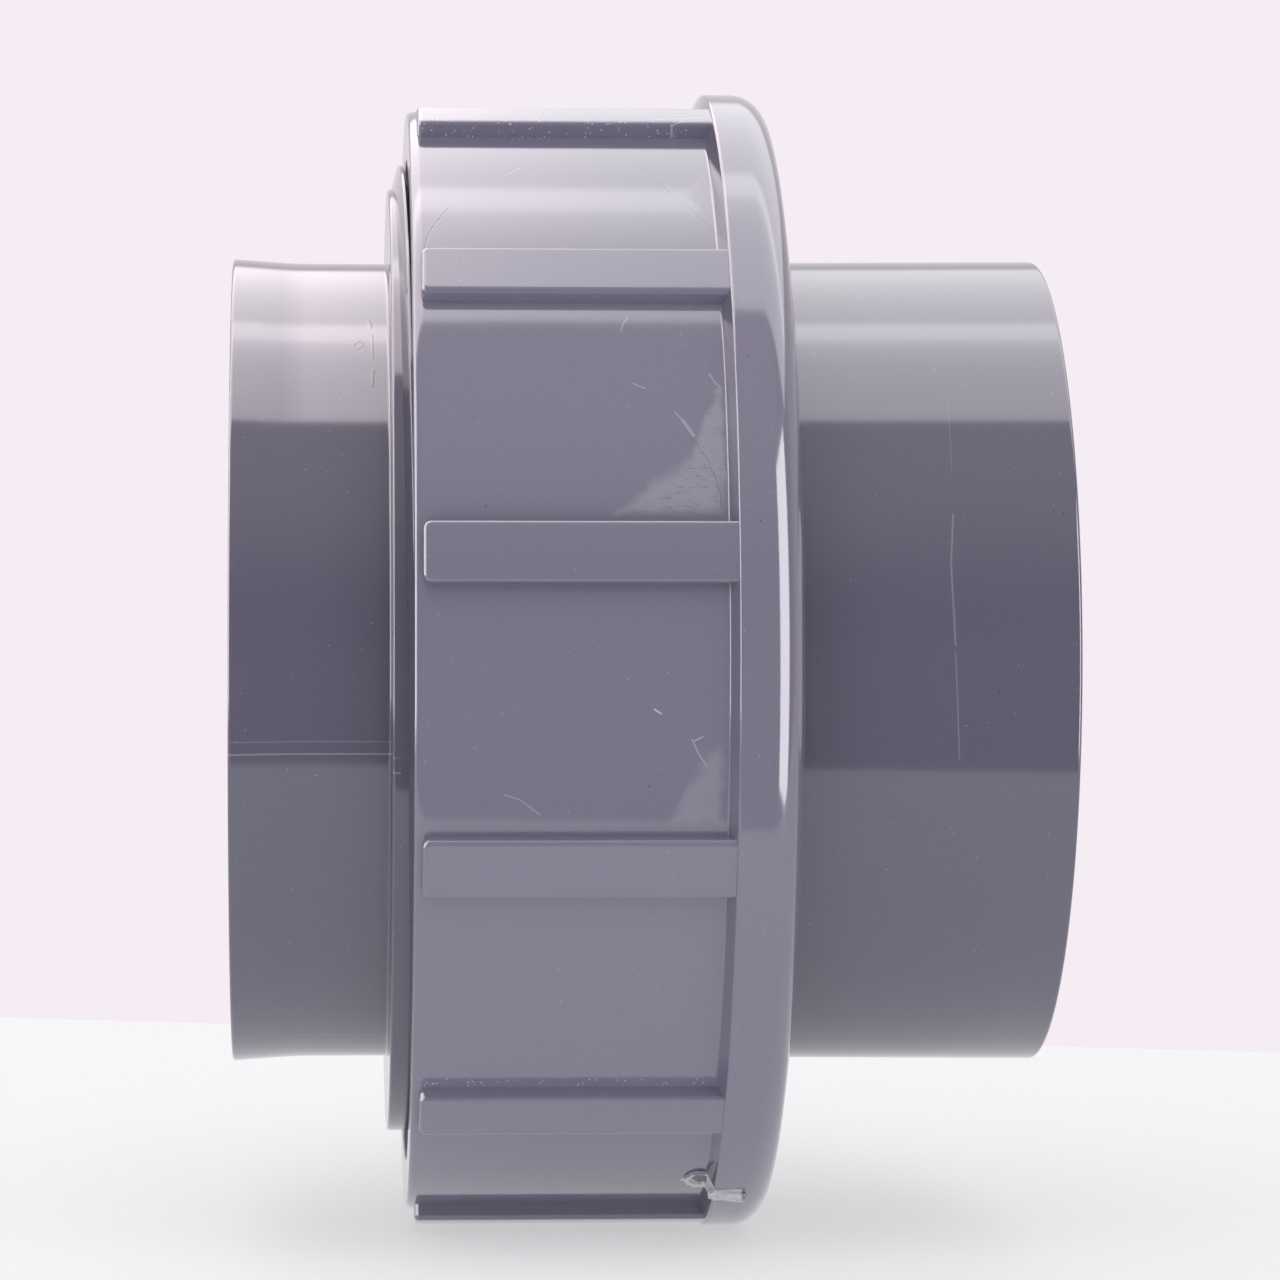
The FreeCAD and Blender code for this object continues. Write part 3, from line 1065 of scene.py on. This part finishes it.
@dataclass
class Table:
    """The pale table top that the nut rests on, with its front edge near the union.

    front and back are where its edges cross the middle plane of the scene, back_at
    how far to the right of it, and the leans how much they slant. glow is how much
    of it shines by itself as it is seen, and mirror_glow as the gloss mirrors it.
    """

    top: float = -0.0919
    front: float = -0.199
    front_lean: float = 0.10
    back: float = 0.353
    back_at: float = 0.022
    back_lean: float = 0.365
    reach: float = 3.0
    colour: Colour = (0.95, 0.95, 0.96)
    glow: float = 0.54
    mirror_glow: float = 0.68

    def build(self) -> bpy.types.Object:
        """Make the table top just under the nut.

        Returns:
            The table's object.
        """
        bm = bmesh.new()
        bmesh.ops.create_grid(bm, x_segments=1, y_segments=1, size=self.reach)
        bmesh.ops.translate(bm, vec=(0, 0, self.top), verts=bm.verts[:])
        cut(bm, (0, self.front, 0), (self.front_lean, -1, 0))
        cut(bm, (self.back_at, self.back, 0), (self.back_lean, 1, 0))
        made, bench = start_material("pale_table")
        cloth = bench.node("ShaderNodeBsdfPrincipled", None,
                           {"Base Color": rgba(self.colour), "Roughness": 0.6, "Specular IOR Level": 0.2})
        path = bench.node("ShaderNodeLightPath")
        seen = (Number(bench, path.outputs["Is Camera Ray"])
                + Number(bench, path.outputs["Is Transmission Ray"]))
        mirrored = Number(bench, path.outputs["Is Glossy Ray"])
        shine = bench.node("ShaderNodeEmission", None, {"Color": rgba(self.colour), "Strength": 1.0})
        share = seen * self.glow + mirrored * self.mirror_glow
        mixed = bench.node("ShaderNodeMixShader", None, {
            0: share, 1: cloth.outputs["BSDF"], 2: shine.outputs[0]})
        bench.node("ShaderNodeOutputMaterial", None, {"Surface": mixed.outputs[0]})
        table = link_mesh(bm, "table", made)
        table.visible_shadow = False
        return table


@dataclass
class Room:
    """The pale backdrop, and the dim side of the room behind the camera.

    fill is the strength of the world's own light; dim and upper are what the gloss
    mirrors behind the camera and high up.
    """

    backdrop: Colour = (0.91, 0.845, 0.895)
    light: Colour = (0.93, 0.92, 0.94)
    fill: float = 0.55
    dim: float = 0.10
    upper: float = 0.75

    def build(self) -> None:
        """Make the world: backdrop for what is seen, soft fill for the light."""
        world = bpy.data.worlds.new("room")
        bpy.context.scene.world = world
        world.use_nodes = True
        bench = Bench(world.node_tree)
        path = bench.node("ShaderNodeLightPath")
        seen = (Number(bench, path.outputs["Is Camera Ray"])
                + Number(bench, path.outputs["Is Transmission Ray"]))
        glossy = Number(bench, path.outputs["Is Glossy Ray"])
        way = bench.node("ShaderNodeSeparateXYZ", None,
                         {0: bench.node("ShaderNodeTexCoord").outputs["Generated"]})
        mirrored = Number(bench, way.outputs["Y"]).ease(-0.25, 0.25, self.dim, 1.0)
        mirrored = mirrored.larger(Number(bench, way.outputs["Z"]).ease(0.25, 0.95, self.dim, self.upper))
        lighting = 1 - seen - glossy
        strength = seen + glossy * mirrored + lighting * self.fill
        colour = bench.tint(lighting, self.backdrop, self.light)
        background = bench.node("ShaderNodeBackground", None, {"Color": colour, "Strength": strength})
        bench.node("ShaderNodeOutputWorld", None, {"Surface": background.outputs[0]})


@dataclass
class Card:
    """A softbox front that shows only in reflections.

    middle is its place, aim the point that it faces, size its width and height in
    metres, and levels its brightness from front to back, as shares of its peak.
    left and right are its colours on the two sides of seam, fading from the one
    to the other.
    """

    name: str
    middle: Place
    aim: Place
    size: tuple[float, float]
    levels: Sequence[tuple[float, float]]
    peak: float
    left: Colour = (1.0, 0.96, 0.98)
    right: Colour = (1.0, 0.96, 0.98)
    seam: tuple[float, float] = (-0.10, 0.05)

    def build(self) -> bpy.types.Object:
        """Make the card.

        Returns:
            The card's object.
        """
        bm = bmesh.new()
        bmesh.ops.create_grid(bm, x_segments=1, y_segments=1, size=0.5, calc_uvs=True)
        bmesh.ops.scale(bm, vec=(self.size[0], self.size[1], 1.0), verts=bm.verts[:])
        facing = (Vector(self.aim) - Vector(self.middle)).to_track_quat("Z", "Y")
        bmesh.ops.rotate(bm, cent=(0, 0, 0), matrix=facing.to_matrix(), verts=bm.verts[:])
        bmesh.ops.translate(bm, vec=self.middle, verts=bm.verts[:])
        made, bench = start_material(self.name + "_glow")
        parts = bench.node("ShaderNodeSeparateXYZ", None,
                           {0: bench.node("ShaderNodeTexCoord").outputs["Object"]})
        side = Number(bench, parts.outputs["X"]).ease(*self.seam)
        spread = bench.number("ShaderNodeMapRange", "Result", None, {
            "Value": parts.outputs["Y"], "From Min": self.middle[1] - self.size[1] / 2,
            "From Max": self.middle[1] + self.size[1] / 2})
        level = bench.number("ShaderNodeValToRGB", "Color", {"stops": self.levels}, {"Fac": spread})
        glow = bench.node("ShaderNodeEmission", None, {
            "Color": bench.tint(side, self.left, self.right), "Strength": level * self.peak})
        bench.node("ShaderNodeOutputMaterial", None, {"Surface": glow.outputs[0]})
        card = link_mesh(bm, self.name, made)
        card.visible_camera = False
        card.visible_diffuse = False
        card.visible_shadow = False
        return card


@dataclass
class SoftLamp:
    """A soft even light that doesn't show in the gloss.

    tilt turns it from straight down towards the back, so 0 lights from above and
    more than 90 from below.
    """

    name: str
    strength: float
    tilt: float
    softness: float = 60.0

    def build(self) -> bpy.types.Object:
        """Make the lamp.

        Returns:
            The lamp's object.
        """
        light = bpy.data.lights.new(self.name, "SUN")
        light.energy = self.strength
        light.angle = math.radians(self.softness)
        lamp = bpy.data.objects.new(self.name, light)
        bpy.context.scene.collection.objects.link(lamp)
        lamp.rotation_euler = (math.radians(self.tilt), 0.0, 0.0)
        lamp.visible_camera = False
        lamp.visible_glossy = False
        return lamp


# The softboxes' brightness from front to back; the first has a bright seam
OVERHEAD_LEVELS = ((0.0, 0.56), (0.17, 0.62), (0.23, 0.72), (0.243, 0.90), (0.29, 0.90), (0.315, 0.61),
                   (0.6, 0.48), (0.9, 0.36), (1.0, 0.2))
LEFT_LEVELS = ((0.0, 1.0), (0.62, 1.0), (0.68, 0.36), (1.0, 0.36))
EVEN_LEVELS = ((0.0, 1.0), (1.0, 1.0))
LIGHTS = (
    Card("overhead_card", (0.0, 0.47, 0.60), (0.0, 0.47, 0.0), (1.7, 1.4), OVERHEAD_LEVELS, 8.8,
         (1.0, 0.895, 0.935), (0.60, 0.582, 0.607)),
    Card("left_card", (-0.75, 0.25, 0.05), (0.0, 0.25, 0.05), (1.4, 1.4), LEFT_LEVELS, 6.0),
    Card("right_card", (0.60, -0.54, 0.10), (0.0, 0.0, 0.0), (0.46, 0.9), EVEN_LEVELS, 7.8),
    SoftLamp("overhead_light", 1.2, 40.0),
    SoftLamp("bounce_light", 1.3, 115.0),
)


@dataclass
class PhotoCamera:
    """The camera of the photograph: its distance, height, turn and lens.

    along is how far it stands to the side; the angles are in degrees, and lens and
    sensor in millimetres.
    """

    distance: float = 0.8863
    along: float = -0.05165
    elevation: float = 1.0
    yaw: float = 3.417
    pitch: float = 0.209
    roll: float = -0.027
    lens: float = 152.9
    sensor: float = 36.0

    def build(self) -> bpy.types.Object:
        """Make the camera and use it for the scene.

        Returns:
            The camera's object.
        """
        data = bpy.data.cameras.new("photo_camera")
        data.lens = self.lens
        data.sensor_width = self.sensor
        data.dof.use_dof = False
        camera = bpy.data.objects.new("photo_camera", data)
        bpy.context.scene.collection.objects.link(camera)
        rise = math.radians(self.elevation)
        stand = Vector((self.along, -self.distance * math.cos(rise), self.distance * math.sin(rise)))
        turns = (("X", 90 - self.elevation), ("Y", -self.yaw), ("X", self.pitch), ("Z", -self.roll))
        matrix = Matrix.Translation(stand)
        for axis, degrees in turns:
            matrix = matrix @ Matrix.Rotation(math.radians(degrees), 4, axis)
        camera.matrix_world = matrix
        bpy.context.scene.camera = camera
        return camera


def main() -> None:
    """Build the union, its stage, the light and the camera."""
    logging.basicConfig(level=logging.INFO, format="%(name)s %(message)s")
    # the nut's PVC is given a lighter colour than that of the ends
    pvc = GlossyPvc("grey_pvc_ends", 64.7, (0.102, 0.095, 0.137), marks=END_MARKS).material()
    nut_pvc = GlossyPvc("grey_pvc_nut", 88.9, (0.167, 0.158, 0.216), sway=0.07, marks=NUT_MARKS,
                        patches=NUT_PATCHES, dust=NUT_DUST).material()
    ThreadedEnd().build(pvc)
    PlainEnd().build(pvc)
    SealRing().build(BlackRubber().material())
    UnionNut().build(nut_pvc)
    Table().build()
    Room().build()
    for light in LIGHTS:
        light.build()
    PhotoCamera().build()
    bpy.context.scene.view_settings.view_transform = "Standard"


if __name__ == "__main__":
    main()
